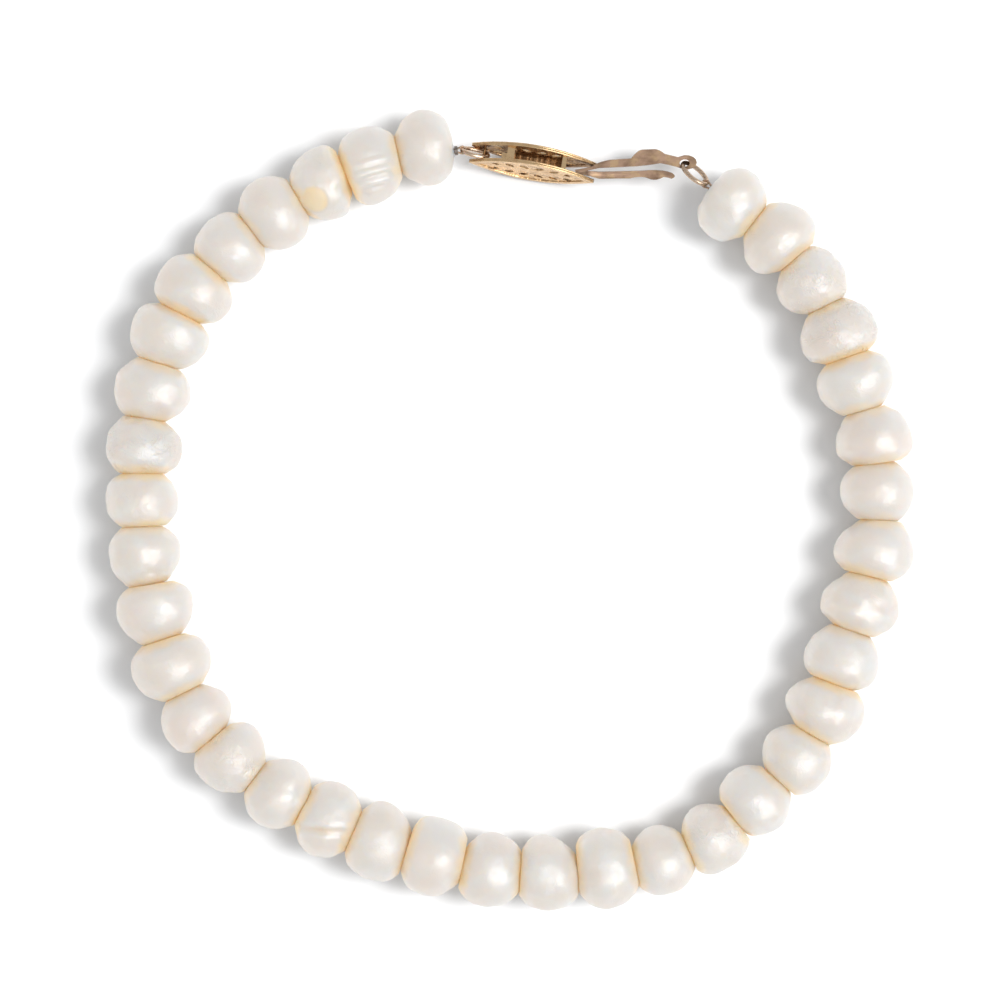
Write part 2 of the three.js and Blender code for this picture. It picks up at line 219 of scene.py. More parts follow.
def makeNacre():
    material, tree, shader = newMaterial("nacre")
    place = addNode(tree, "ShaderNodeTexCoord").outputs["Object"]
    stainAndGlow = addNode(tree, "ShaderNodeAttribute", attribute_name="stainAndGlow").outputs["Fac"]
    tint = addNode(tree, "ShaderNodeAttribute", attribute_name="tint").outputs["Fac"]
    clouds = noiseValue(tree, place, nacreSet["cloudScale"], 3.0, 0.55, 0.4)
    veil = smoothRange(tree, clouds, 0.3, 0.7)
    body = mixColor(tree, veil, nacreSet["cream"], nacreSet["white"])
    blush = maths(tree, "MULTIPLY", tint, smoothRange(tree, clouds, 0.65, 0.35, 0.45, 1.0))
    body = mixColor(tree, blush, body, nacreSet["pink"])
    spots = noiseValue(tree, place, nacreSet["spotScale"], 4.0, 0.6)
    spots = smoothRange(tree, spots, 0.3, 0.75, 0.65, 1.0)
    # Peach, then honey, toward the contacts: partly a real stain, partly painted glow of light between the
    # pearls
    color = mixColor(tree, smoothRange(tree, stainAndGlow, 0.0, 0.55), body, nacreSet["peach"])
    deep = smoothRange(tree, stainAndGlow, 0.35, 1.0)
    color = mixColor(tree, maths(tree, "MULTIPLY", deep, spots), color, nacreSet["honey"])
    # Painted glow: in the crease where pearls meet, the colour turns amber
    crease = addNode(tree, "ShaderNodeAttribute", attribute_name="crease").outputs["Fac"]
    color = mixColor(tree, maths(tree, "MULTIPLY", crease, spots), color, nacreSet["paintedGlowAmber"])
    specks = smoothRange(tree, noiseValue(tree, place, nacreSet["speckScale"]), 0.66, 0.71)
    specks = maths(tree, "MULTIPLY", specks, smoothRange(tree, stainAndGlow, 0.75, 1.0))
    color = mixColor(tree, specks, color, nacreSet["speck"])
    # Painted glow: the crease gives off amber light as an emission, though it is no lamp
    paintedGlow = mixColor(tree, crease, (0, 0, 0, 1), nacreSet["paintedGlowAmber"])
    grain = noiseValue(tree, place, nacreSet["grainScale"], 3.0, 0.55)
    terraces = noiseValue(tree, place, nacreSet["terraceScale"], 2.0, 0.5, 1.2)
    steps = maths(tree, "PINGPONG", maths(tree, "MULTIPLY", terraces, nacreSet["terraceCount"]), 0.5)
    height = maths(tree, "ADD", grain, maths(tree, "MULTIPLY", steps, 0.9))
    crinkled = noiseValue(tree, place, nacreSet["crinkleScale"])
    crinkled = smoothRange(tree, crinkled, 0.42, 0.62, 0.3, 1.0)
    crinkle = addNode(tree, "ShaderNodeAttribute", attribute_name="crinkle").outputs["Fac"]
    height = maths(tree, "MULTIPLY", maths(tree, "MULTIPLY", height, crinkled), crinkle)
    roughness = smoothRange(tree, grain, 0.3, 0.75, *nacreSet["roughness"])
    setShader(tree, shader, Base_Color=color, Roughness=roughness, IOR=nacreSet["ior"])
    setShader(tree, shader, Emission_Color=paintedGlow, Emission_Strength=nacreSet["paintedGlow"])
    setShader(tree, shader, Subsurface_Weight=1.0, Subsurface_Scale=nacreSet["glowDepth"] * mm)
    setShader(tree, shader, Coat_Weight=nacreSet["coat"], Coat_Roughness=nacreSet["coatRoughness"],
              Coat_IOR=nacreSet["coatIor"])
    shader.inputs["Specular Tint"].default_value = nacreSet["specularTint"]
    shader.inputs["Subsurface Radius"].default_value = nacreSet["glowRadius"]
    shader.inputs["Coat Tint"].default_value = nacreSet["coatTint"]
    bumped(tree, shader, height, nacreSet["bumpHeight"] * mm, 0.8)
    return material


# Wear that all the gold pieces share: clouds of tarnish, and fine scratches along one direction.
def makeGoldWear():
    inlets = [
        ("Vector", "NodeSocketVector", None), ("Metal", "NodeSocketColor", (0.8, 0.6, 0.35, 1)),
        ("Tarnish", "NodeSocketColor", (0.3, 0.18, 0.1, 1)), ("Patch Scale", "NodeSocketFloat", 900.0),
        ("Tarnish Amount", "NodeSocketFloat", 0.4), ("Scratch Scale", "NodeSocketFloat", 4000.0),
        ("Smooth", "NodeSocketFloat", 0.2), ("Rough", "NodeSocketFloat", 0.4),
    ]
    outlets = [("Color", "NodeSocketColor"), ("Roughness", "NodeSocketFloat"), ("Height", "NodeSocketFloat")]
    tree, given, result = newTree("goldWear", "ShaderNodeTree", inlets, outlets)
    patches = noiseValue(tree, given["Vector"], given["Patch Scale"], 4.0, 0.6, 0.3)
    mask = maths(tree, "MULTIPLY", smoothRange(tree, patches, 0.42, 0.7), given["Tarnish Amount"])
    stretched = vectorMaths(tree, "MULTIPLY", given["Vector"], (0.12, 1.0, 1.0))
    scratches = noiseValue(tree, stretched, given["Scratch Scale"], 2.0, 0.5)
    roughness = addNode(tree, "ShaderNodeMapRange")
    for socket, value in zip(roughness.inputs, (scratches, 0.35, 0.7, given["Smooth"], given["Rough"])):
        feed(tree, socket, value)
    tree.links.new(mixColor(tree, mask, given["Metal"], given["Tarnish"]), result["Color"])
    tree.links.new(maths(tree, "ADD", roughness.outputs[0], maths(tree, "MULTIPLY", mask, 0.25)),
                   result["Roughness"])
    tree.links.new(scratches, result["Height"])
    return tree


goldWear = makeGoldWear()


def wornGold(tree, place, **values):
    node = addNode(tree, "ShaderNodeGroup", node_tree=goldWear)
    feed(tree, node.inputs["Vector"], place)
    for label, value in values.items():
        feed(tree, node.inputs[label.replace("_", " ")], value)
    return node.outputs


caseGoldSet = {
    "metal": (0.72, 0.505, 0.285, 1),
    "tarnish": (0.40, 0.22, 0.10, 1),
    # the colour of the painted shade inside the case
    "paintedInteriorShade": (0.23, 0.115, 0.05, 1),
    "scrollScale": 1.1,  # cells for each millimetre
    "scrollLines": 2.2,
    "engravingDepth": 0.05,
    "halfLength": 4.8, "halfHeight": 1.75,  # the plate inside its rim
}


def makeCaseGold():
    material, tree, shader = newMaterial("engravedGold")
    plate = addNode(tree, "ShaderNodeAttribute", attribute_name="plate").outputs["Vector"]
    flat = vectorMaths(tree, "MULTIPLY", plate, (1.0, 0.0, 1.0))
    cells = addNode(tree, "ShaderNodeTexVoronoi", feature="F1", distance="EUCLIDEAN")
    feed(tree, cells.inputs["Vector"], flat)
    cells.inputs["Scale"].default_value = caseGoldSet["scrollScale"]
    cells.inputs["Randomness"].default_value = 0.35
    lines = maths(tree, "SINE", maths(tree, "MULTIPLY", cells.outputs["Distance"],
                                      2 * math.pi * caseGoldSet["scrollLines"]))
    engraving = smoothRange(tree, lines, -0.7, 0.5)
    axes = addNode(tree, "ShaderNodeSeparateXYZ")
    tree.links.new(plate, axes.inputs[0])
    reach = maths(tree, "POWER", maths(tree, "DIVIDE", axes.outputs["X"], caseGoldSet["halfLength"]), 2.0)
    lift = maths(tree, "DIVIDE", maths(tree, "ABSOLUTE", axes.outputs["Z"]), caseGoldSet["halfHeight"])
    rim = smoothRange(tree, maths(tree, "ADD", reach, lift), 0.97, 1.03)
    engraving = maths(tree, "MAXIMUM", engraving, rim)
    wear = wornGold(tree, plate, Metal=caseGoldSet["metal"], Tarnish=caseGoldSet["tarnish"], Patch_Scale=1.1,
                    Tarnish_Amount=0.35, Scratch_Scale=6.0, Smooth=0.18, Rough=0.34)
    groove = maths(tree, "MULTIPLY", maths(tree, "SUBTRACT", 1.0, engraving), 0.32)
    color = mixColor(tree, groove, wear["Color"], caseGoldSet["tarnish"])
    # Painted shade: inside the case, between the plates and toward its lower part, the gold is darkened in
    # blotches
    inside = smoothRange(tree, maths(tree, "ABSOLUTE", axes.outputs["Y"]), 0.66, 0.6)
    low = smoothRange(tree, axes.outputs["Z"], 1.0, 0.7)
    blotches = smoothRange(tree, noiseValue(tree, plate, 1.6, 3.0, 0.6), 0.3, 0.65, 1.0, 0.55)
    paintedInteriorShade = maths(tree, "MULTIPLY", maths(tree, "MULTIPLY", inside, low), blotches)
    color = mixColor(tree, paintedInteriorShade, color, caseGoldSet["paintedInteriorShade"])
    setShader(tree, shader, Base_Color=color, Roughness=wear["Roughness"], Metallic=1.0)
    height = maths(tree, "ADD", engraving, maths(tree, "MULTIPLY", wear["Height"], 0.15))
    bumped(tree, shader, height, caseGoldSet["engravingDepth"] * mm, 0.8)
    return material


hookGoldSet = {
    # The tarnish colour also darkens the sheet's cut edges as painted shade
    "rose": (0.25, 0.165, 0.115, 1), "yellow": (0.29, 0.20, 0.12, 1), "tarnish": (0.10, 0.06, 0.04, 1),
    "sheetRoll": 9,  # about X, so that only the sheet's cut edges get the painted shade
    "bloomScale": 1300, "scratchDepth": 0.02,
}


def makeHookGold():
    material, tree, shader = newMaterial("roseGold")
    place = addNode(tree, "ShaderNodeTexCoord").outputs["Object"]
    blooms = smoothRange(tree, noiseValue(tree, place, hookGoldSet["bloomScale"]), 0.42, 0.62)
    metal = mixColor(tree, blooms, hookGoldSet["rose"], hookGoldSet["yellow"])
    wear = wornGold(tree, place, Metal=metal, Tarnish=hookGoldSet["tarnish"], Patch_Scale=900.0,
                    Tarnish_Amount=0.55, Scratch_Scale=9000.0, Smooth=0.33, Rough=0.5)
    # Painted shade: faces turned away from the sheet's face, its cut edges, are mixed toward the tarnish
    # colour
    normal = addNode(tree, "ShaderNodeNewGeometry").outputs["Normal"]
    roll = math.radians(hookGoldSet["sheetRoll"])
    facing = vectorMaths(tree, "DOT_PRODUCT", normal, (0.0, -math.sin(roll), math.cos(roll)))
    edge = smoothRange(tree, maths(tree, "ABSOLUTE", facing), 0.85, 0.45, 0.0, 0.75)
    color = mixColor(tree, edge, wear["Color"], hookGoldSet["tarnish"])
    setShader(tree, shader, Base_Color=color, Roughness=wear["Roughness"], Metallic=1.0)
    bumped(tree, shader, wear["Height"], hookGoldSet["scratchDepth"] * mm, 0.8)
    return material


ringGoldSet = {"metal": (0.66, 0.50, 0.37, 1), "tarnish": (0.30, 0.18, 0.11, 1), "scratchDepth": 0.006}


def makeRingGold():
    material, tree, shader = newMaterial("paleGold")
    place = addNode(tree, "ShaderNodeTexCoord").outputs["Object"]
    wear = wornGold(tree, place, Metal=ringGoldSet["metal"], Tarnish=ringGoldSet["tarnish"],
                    Patch_Scale=1100.0, Tarnish_Amount=0.35, Scratch_Scale=9000.0, Smooth=0.16, Rough=0.32)
    setShader(tree, shader, Base_Color=wear["Color"], Roughness=wear["Roughness"], Metallic=1.0)
    bumped(tree, shader, wear["Height"], ringGoldSet["scratchDepth"] * mm, 0.6)
    return material


crimpMetalSet = {"metal": (0.30, 0.26, 0.23, 1), "tarnish": (0.08, 0.06, 0.05, 1), "scratchDepth": 0.01}


def makeCrimpMetal():
    material, tree, shader = newMaterial("darkMetal")
    place = addNode(tree, "ShaderNodeTexCoord").outputs["Object"]
    wear = wornGold(tree, place, Metal=crimpMetalSet["metal"], Tarnish=crimpMetalSet["tarnish"],
                    Patch_Scale=1500.0, Tarnish_Amount=0.8, Scratch_Scale=9000.0, Smooth=0.35, Rough=0.6)
    setShader(tree, shader, Base_Color=wear["Color"], Roughness=wear["Roughness"], Metallic=1.0)
    bumped(tree, shader, wear["Height"], crimpMetalSet["scratchDepth"] * mm, 0.7)
    return material


silkSet = {
    "shade": (0.55, 0.44, 0.30, 1), "light": (0.86, 0.78, 0.62, 1), "fibreScale": 9000, "fibreDepth": 0.01,
}


def makeSilk():
    material, tree, shader = newMaterial("silk")
    place = addNode(tree, "ShaderNodeTexCoord").outputs["Object"]
    fibres = noiseValue(tree, place, silkSet["fibreScale"], 2.0, 0.6)
    color = mixColor(tree, fibres, silkSet["shade"], silkSet["light"])
    setShader(tree, shader, Base_Color=color, Roughness=0.75, Sheen_Weight=0.3, Sheen_Roughness=0.4)
    bumped(tree, shader, fibres, silkSet["fibreDepth"] * mm, 0.8)
    return material


nacre = makeNacre()
caseGold = makeCaseGold()
hookGold = makeHookGold()
ringGold = makeRingGold()
crimpMetal = makeCrimpMetal()
silk = makeSilk()
print("materials made")


# A copy of a CAD node as a bmesh, its triangles joined back into the four-sided faces they came from.
def cageOf(nodeName, joinAngle=40):
    cage = bmesh.new()
    cage.from_mesh(nodes[nodeName].data)
    bmesh.ops.remove_doubles(cage, verts=cage.verts, dist=1e-6)
    bmesh.ops.join_triangles(cage, faces=cage.faces, angle_face_threshold=math.radians(joinAngle),
                             angle_shape_threshold=math.radians(80))
    return cage


def meshObject(name, cage):
    mesh = bpy.data.meshes.new(name)
    cage.to_mesh(mesh)
    cage.free()
    piece = bpy.data.objects.new(name, mesh)
    bpy.context.scene.collection.objects.link(piece)
    return piece


# Replaces an object's live modifiers by the plain mesh that they give.
def applied(piece):
    bpy.context.view_layer.update()
    graph = bpy.context.evaluated_depsgraph_get()
    mesh = bpy.data.meshes.new_from_object(piece.evaluated_get(graph), depsgraph=graph)
    if piece.type == "MESH":
        piece.modifiers.clear()
        piece.data = mesh
        return piece
    solid = bpy.data.objects.new(piece.name + "Mesh", mesh)
    bpy.context.scene.collection.objects.link(solid)
    bpy.data.objects.remove(piece)
    return solid


def finishPiece(piece, name, slot, material, *replaced):
    piece.name = name
    piece.data.name = name
    if material:
        piece.data.materials.clear()
        piece.data.materials.append(material)
    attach(piece, "root")
    if replaced:
        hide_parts(*replaced)
    return piece


def useTree(piece, tree, values):
    modifier = piece.modifiers.new(tree.name, "NODES")
    modifier.node_group = tree
    for item in tree.interface.items_tree:
        if item.item_type == "SOCKET" and item.in_out == "INPUT" and item.name in values:
            value = values[item.name]
            modifier[item.identifier] = value[:] if isinstance(value, Vector) else value


# The last nodes of each tree: smooth shading, real geometry and its material.
def endTree(tree, geometry, material, outlet):
    smooth = addNode(tree, "GeometryNodeSetShadeSmooth")
    real = addNode(tree, "GeometryNodeRealizeInstances")
    paint = addNode(tree, "GeometryNodeSetMaterial")
    tree.links.new(geometry, smooth.inputs["Geometry"])
    tree.links.new(smooth.outputs[0], real.inputs["Geometry"])
    tree.links.new(real.outputs[0], paint.inputs["Geometry"])
    tree.links.new(material, paint.inputs["Material"])
    tree.links.new(paint.outputs[0], outlet)


# Every pearl's own values lie between the pairs given here.
pearlSet = {
    "lumpHeight": (0.25, 0.6), "lumpSize": 2.0, "lumpSizeSpread": 1.2, "wrinkleHeight": 0.12,
    "tint": (0.1, 0.6), "stainAndGlow": (0.45, 1.0), "levels": 3, "crinkle": 0.35, "grow": 1.018, "contactGap": 0.01,
    "dimpleDepth": 0.05, "seedStep": 7.3, "chanceSteps": (0.618, 0.414, 0.732, 0.291),
}

# Marks of single pearls. A place is (right, back) from the pearl's middle, on its upper side, and a turn is
# counted from +X.
pearlMarks = {
    2: {"ridge": (0.5, -0.9), "ridgeTurn": 107, "ridgeReach": 2.3, "ridgeSpacing": 0.78, "ridgeHeight": 0.17},
    3: {"dent": (-0.4, -1.65), "dentReach": 1.3, "dentDepth": 0.11, "dentFloor": 0.75, "dentStain": 0.8},
    9: {"wrinkleHeight": 0.22, "lumpHeight": 0.6, "crinkle": 1.8},
    10: {"dent": (-2.6, 0.0), "dentReach": 1.8, "dentDepth": 0.1, "wrinkleHeight": 0.14, "crinkle": 0.6},
    12: {"lumpHeight": 0.6},
    14: {"tint": 0.85},
    15: {"crinkle": 1.2},
    16: {"dent": (1.4, 1.2), "dentReach": 0.8, "dentDepth": -0.08},
    17: {
        "groove": (-0.3, -0.6), "grooveTurn": 84, "grooveWidth": 0.55, "grooveDepth": 0.3, "grooveReach": 2.9,
    },
    19: {"ridge": (0.8, -1.2), "ridgeTurn": 60, "ridgeReach": 1.4, "ridgeSpacing": 0.3, "ridgeHeight": 0.02},
    21: {"ridge": (0.6, -1.0), "ridgeTurn": 30, "ridgeReach": 1.4, "ridgeSpacing": 0.3, "ridgeHeight": 0.02},
    22: {"dent": (1.3, -1.5), "dentReach": 1.1, "dentDepth": 0.12},
    24: {"wrinkleHeight": 0.18, "crinkle": 1.3},
    32: {"dent": (-1.9, 0.2), "dentReach": 1.7, "dentDepth": 0.12, "tint": 0.8},
    34: {"wrinkleHeight": 0.2, "crinkle": 1.8},
    35: {"wrinkleHeight": 0.2, "crinkle": 1.5},
    36: {"dent": (1.4, -1.7), "dentReach": 1.4, "dentDepth": 0.16},
}


# The pearls. The tree lays slow lumps, fine wrinkles and each pearl's own marks over its smooth body.
def makePearlSkin():
    inlets = [
        ("Geometry", "NodeSocketGeometry", None), ("Seed", "NodeSocketFloat", 0.0),
        ("Lump Size", "NodeSocketFloat", 2.4), ("Lump Height", "NodeSocketFloat", 0.1),
        ("Wrinkle Size", "NodeSocketFloat", 0.62), ("Wrinkle Height", "NodeSocketFloat", 0.02),
        ("Ridge Middle", "NodeSocketVector", None), ("Ridge Across", "NodeSocketVector", (0, 1, 0)),
        ("Ridge Reach", "NodeSocketFloat", 1.0), ("Ridge Spacing", "NodeSocketFloat", 0.5),
        ("Ridge Height", "NodeSocketFloat", 0.0),
        ("Dent Middle", "NodeSocketVector", None), ("Dent Reach", "NodeSocketFloat", 1.0),
        ("Dent Depth", "NodeSocketFloat", 0.0), ("Dent Floor", "NodeSocketFloat", 0.0),
        ("Dent Stain", "NodeSocketFloat", 0.0),
        ("Groove Middle", "NodeSocketVector", None), ("Groove Across", "NodeSocketVector", (0, 1, 0)),
        ("Groove Width", "NodeSocketFloat", 0.3), ("Groove Depth", "NodeSocketFloat", 0.0),
        ("Groove Reach", "NodeSocketFloat", 2.0),
        ("Hole Middle", "NodeSocketVector", None), ("Hole Axis", "NodeSocketVector", (1, 0, 0)),
        ("Start Contact", "NodeSocketVector", None), ("Start Outward", "NodeSocketVector", (-1, 0, 0)),
        ("End Contact", "NodeSocketVector", None), ("End Outward", "NodeSocketVector", (1, 0, 0)),
        ("Shoulder", "NodeSocketFloat", 0.24), ("Tint", "NodeSocketFloat", 0.3),
        ("StainAndGlow", "NodeSocketFloat", 1.0), ("Crinkle", "NodeSocketFloat", 0.3),
        ("Material", "NodeSocketMaterial", None),
    ]
    outlets = [("Geometry", "NodeSocketGeometry")]
    tree, given, result = newTree("pearlSkin", "GeometryNodeTree", inlets, outlets)
    place = scaled(tree, addNode(tree, "GeometryNodeInputPosition").outputs[0], 1 / mm)
    normal = addNode(tree, "GeometryNodeInputNormal").outputs[0]
    shifted = vectorMaths(tree, "ADD", place, scaled(tree, (0.61, 1.17, 0.83), given["Seed"]))

    def centred(size, height, detail):
        wave = noiseValue(tree, shifted, maths(tree, "DIVIDE", 1.0, size), detail, 0.5)
        return maths(tree, "MULTIPLY", maths(tree, "SUBTRACT", wave, 0.5), height)

    def reachMask(middle, reach):
        return smoothRange(tree, vectorMaths(tree, "DISTANCE", place, middle), reach, 0.0)

    lumps = centred(given["Lump Size"], given["Lump Height"], 1.0)
    wrinkles = centred(given["Wrinkle Size"], given["Wrinkle Height"], 3.0)
    ridgeWay = vectorMaths(tree, "DOT_PRODUCT", vectorMaths(tree, "SUBTRACT", place, given["Ridge Middle"]),
                           given["Ridge Across"])
    ridgeTurn = maths(tree, "MULTIPLY", maths(tree, "DIVIDE", ridgeWay, given["Ridge Spacing"]), 2 * math.pi)
    ridges = maths(tree, "MULTIPLY", maths(tree, "SINE", ridgeTurn), given["Ridge Height"])
    ridges = maths(tree, "MULTIPLY", ridges, reachMask(given["Ridge Middle"], given["Ridge Reach"]))
    fromDent = vectorMaths(tree, "DISTANCE", place, given["Dent Middle"])
    dentFloor = maths(tree, "MULTIPLY", given["Dent Reach"], given["Dent Floor"])
    inDent = smoothRange(tree, fromDent, given["Dent Reach"], dentFloor)
    dent = maths(tree, "MULTIPLY", inDent, given["Dent Depth"])
    grooveWay = vectorMaths(tree, "DOT_PRODUCT", vectorMaths(tree, "SUBTRACT", place, given["Groove Middle"]),
                            given["Groove Across"])
    groove = smoothRange(tree, maths(tree, "ABSOLUTE", grooveWay), given["Groove Width"], 0.0)
    groove = maths(tree, "MULTIPLY", groove, reachMask(given["Groove Middle"], given["Groove Reach"]))
    inGroove = maths(tree, "MULTIPLY", groove, maths(tree, "GREATER_THAN", given["Groove Depth"], 0.0))
    groove = maths(tree, "MULTIPLY", groove, given["Groove Depth"])
    height = maths(tree, "ADD", maths(tree, "ADD", lumps, wrinkles), ridges)
    height = maths(tree, "SUBTRACT", maths(tree, "SUBTRACT", height, dent), groove)

    # The drilled hole's mouth sits in a shallow dimple, and the walls inside it stay as they are.
    fromHole = vectorMaths(tree, "SUBTRACT", place, given["Hole Middle"])
    alongHole = vectorMaths(tree, "DOT_PRODUCT", fromHole, given["Hole Axis"])
    besideHole = vectorMaths(tree, "LENGTH", vectorMaths(
        tree, "SUBTRACT", fromHole, scaled(tree, given["Hole Axis"], alongHole)))
    dimple = maths(tree, "MULTIPLY", smoothRange(tree, besideHole, 1.1, 0.35), pearlSet["dimpleDepth"])
    height = maths(tree, "MULTIPLY", height, smoothRange(tree, besideHole, 0.6, 1.5))
    outer = maths(tree, "GREATER_THAN", besideHole, 0.52)
    height = maths(tree, "SUBTRACT", height, maths(tree, "MULTIPLY", dimple, outer))

    # The foot stays flat, and near a contact the skin swells into a shoulder.
    above = addNode(tree, "ShaderNodeSeparateXYZ")
    tree.links.new(place, above.inputs[0])
    height = maths(tree, "MULTIPLY", height, smoothRange(tree, above.outputs["Z"], 0.2, 1.6))
    facing = maths(tree, "ABSOLUTE", vectorMaths(tree, "DOT_PRODUCT", normal, given["Hole Axis"]))
    shoulder = maths(tree, "MULTIPLY", smoothRange(tree, besideHole, 2.5, 1.25),
                     smoothRange(tree, besideHole, 0.5, 1.25))
    shoulder = maths(tree, "MULTIPLY", shoulder, smoothRange(tree, facing, 0.1, 0.6))
    depths = [maths(tree, "MULTIPLY", vectorMaths(
        tree, "DOT_PRODUCT", vectorMaths(tree, "SUBTRACT", place, given[side + " Contact"]),
        given[side + " Outward"]), -1.0) for side in ("Start", "End")]
    depth = maths(tree, "MINIMUM", *depths)
    shoulder = maths(tree, "MULTIPLY", shoulder, smoothRange(tree, depth, 0.95, 0.6))
    height = maths(tree, "ADD", height, maths(tree, "MULTIPLY", shoulder, given["Shoulder"]))

    # Golden stain, ragged, from the contacts inward: partly a real stain, partly painted glow of light
    # bouncing and passing between the pearls.
    ragged = maths(tree, "ADD", depth, maths(tree, "MULTIPLY", maths(
        tree, "SUBTRACT", noiseValue(tree, shifted, 0.8, 3.0, 0.6), 0.5), 0.9))
    stainAndGlow = maths(tree, "MULTIPLY", smoothRange(tree, ragged, 0.95, 0.05), given["StainAndGlow"])
    stainAndGlow = maths(tree, "MAXIMUM", stainAndGlow, maths(tree, "MULTIPLY", inDent, given["Dent Stain"]))
    stainAndGlow = maths(tree, "MAXIMUM", stainAndGlow, maths(tree, "MULTIPLY", inGroove, 0.45))
    crease = smoothRange(tree, depth, 0.3, 0.04)
    geometry = given["Geometry"]
    shares = {"stainAndGlow": stainAndGlow, "crease": crease, "tint": given["Tint"], "crinkle": given["Crinkle"]}
    for label, value in shares.items():
        store = addNode(tree, "GeometryNodeStoreNamedAttribute", data_type="FLOAT", domain="POINT")
        store.inputs["Name"].default_value = label
        tree.links.new(geometry, store.inputs["Geometry"])
        tree.links.new(value, store.inputs["Value"])
        geometry = store.outputs[0]

    # No point passes the plane where the pearl rests against its neighbour.
    place = vectorMaths(tree, "ADD", place, scaled(tree, normal, height))
    for side in ("Start", "End"):
        fromContact = vectorMaths(tree, "SUBTRACT", place, given[side + " Contact"])
        past = vectorMaths(tree, "DOT_PRODUCT", fromContact, given[side + " Outward"])
        past = maths(tree, "MAXIMUM", maths(tree, "ADD", past, pearlSet["contactGap"] / 2), 0.0)
        place = vectorMaths(tree, "SUBTRACT", place, scaled(tree, given[side + " Outward"], past))
    moved = addNode(tree, "GeometryNodeSetPosition")
    tree.links.new(geometry, moved.inputs["Geometry"])
    tree.links.new(scaled(tree, place, mm), moved.inputs["Position"])
    geometry = moved.outputs[0]

    endTree(tree, geometry, given["Material"], result["Geometry"])
    return tree


pearlSkin = makePearlSkin()


# The two ends of a pearl's drilled hole, in the order in which the string runs, counter-clockwise.
def holeEnds(cage):
    long = [edge for edge in cage.edges if edge.calc_length() > 3 * mm]
    corners = {vert for edge in long for vert in edge.verts}
    middle = sum((vert.co for vert in corners), Vector()) / len(corners)
    way = Vector((-middle.y, middle.x, 0)).normalized()
    ends = []
    for side in (-1, 1):
        rim = [vert for vert in corners if side * (vert.co - middle).dot(way) > 0]
        ends.append(sum((vert.co for vert in rim), Vector()) / len(rim))
        crease = cage.edges.layers.float.get("crease_edge") or cage.edges.layers.float.new("crease_edge")
        for edge in cage.edges:
            if edge.verts[0] in rim and edge.verts[1] in rim and edge.calc_length() < 0.5 * mm:
                edge[crease] = 1.0
    return ends


def onTop(middle, offset, radius=2.85):
    right, back = offset
    up = math.sqrt(max(0.0, radius ** 2 - right ** 2 - back ** 2))
    return middle + Vector((right, back, up))


def turned(degrees):
    angle = math.radians(degrees)
    return Vector((math.cos(angle), math.sin(angle), 0))


# Where each pearl rests against the next one: a point halfway between their holes and the way across it.
def contactsOf(holes):
    contacts = []
    for before, after in zip(holes, holes[1:]):
        way = (before[1] - before[0]).normalized() + (after[1] - after[0]).normalized()
        contacts.append(((before[1] + after[0]) / 2 / mm, way.normalized()))
    first = (holes[0][1] - holes[0][0]).normalized()
    last = (holes[-1][1] - holes[-1][0]).normalized()
    return [(holes[0][0] / mm - first, first)] + contacts + [(holes[-1][1] / mm + last, last)]


def makePearl(number, nodeName, cage, hole, contactBefore, contactAfter):
    marks = pearlMarks.get(number, {})
    chance = [(number * step) % 1.0 for step in pearlSet["chanceSteps"]]
    low, high = pearlSet["lumpHeight"]
    start, end = hole
    lowest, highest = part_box(nodeName)
    middle = (lowest + highest) / 2
    bmesh.ops.scale(cage, verts=cage.verts, vec=(pearlSet["grow"],) * 3, space=Matrix.Translation(-middle))
    piece = meshObject(nodeName, cage)
    rounding = piece.modifiers.new("round", "SUBSURF")
    rounding.levels = rounding.render_levels = pearlSet["levels"]
    tintLow, tintHigh = pearlSet["tint"]
    stainAndGlowLow, stainAndGlowHigh = pearlSet["stainAndGlow"]
    middle = middle / mm
    useTree(piece, pearlSkin, {
        "Seed": pearlSet["seedStep"] * number,
        "Lump Size": pearlSet["lumpSize"] + pearlSet["lumpSizeSpread"] * chance[1],
        "Lump Height": marks.get("lumpHeight", low + (high - low) * chance[0]),
        "Wrinkle Height": marks.get("wrinkleHeight", pearlSet["wrinkleHeight"]),
        "Ridge Middle": onTop(middle, marks.get("ridge", (0, 0))),
        "Ridge Across": turned(marks.get("ridgeTurn", 0)),
        "Ridge Reach": marks.get("ridgeReach", 1.0),
        "Ridge Spacing": marks.get("ridgeSpacing", 0.5),
        "Ridge Height": marks.get("ridgeHeight", 0.0),
        "Dent Middle": onTop(middle, marks.get("dent", (0, 0))),
        "Dent Reach": marks.get("dentReach", 1.0),
        "Dent Depth": marks.get("dentDepth", 0.0),
        "Dent Floor": marks.get("dentFloor", 0.0),
        "Dent Stain": marks.get("dentStain", 0.0),
        "Groove Middle": onTop(middle, marks.get("groove", (0, 0))),
        "Groove Across": turned(marks.get("grooveTurn", 0)),
        "Groove Width": marks.get("grooveWidth", 0.3),
        "Groove Depth": marks.get("grooveDepth", 0.0),
        "Groove Reach": marks.get("grooveReach", 2.0),
        "Hole Middle": (start + end) / 2 / mm,
        "Hole Axis": (end - start).normalized(),
        "Start Contact": contactBefore[0],
        "Start Outward": -contactBefore[1],
        "End Contact": contactAfter[0],
        "End Outward": contactAfter[1],
        "Tint": marks.get("tint", tintLow + (tintHigh - tintLow) * chance[2]),
        "Crinkle": marks.get("crinkle", pearlSet["crinkle"]),
        "StainAndGlow": stainAndGlowLow + (stainAndGlowHigh - stainAndGlowLow) * chance[3],
        "Material": nacre,
    })
    applied(piece)
    for vert in piece.data.vertices:  # nothing stands outside the CAD's own bounds
        vert.co = [min(max(at, low), high) for at, low, high in zip(vert.co, *cadBounds)]
    finishPiece(piece, f"pearlSkin_{number:02d}", "pearl", None, nodeName)


cages = [cageOf(name) for name in pearlNames]
holes = [holeEnds(cage) for cage in cages]
contacts = contactsOf(holes)
for i, name in enumerate(pearlNames):
    makePearl(i + 1, name, cages[i], holes[i], contacts[i], contacts[i + 1])
print("pearls made:", len(holes))


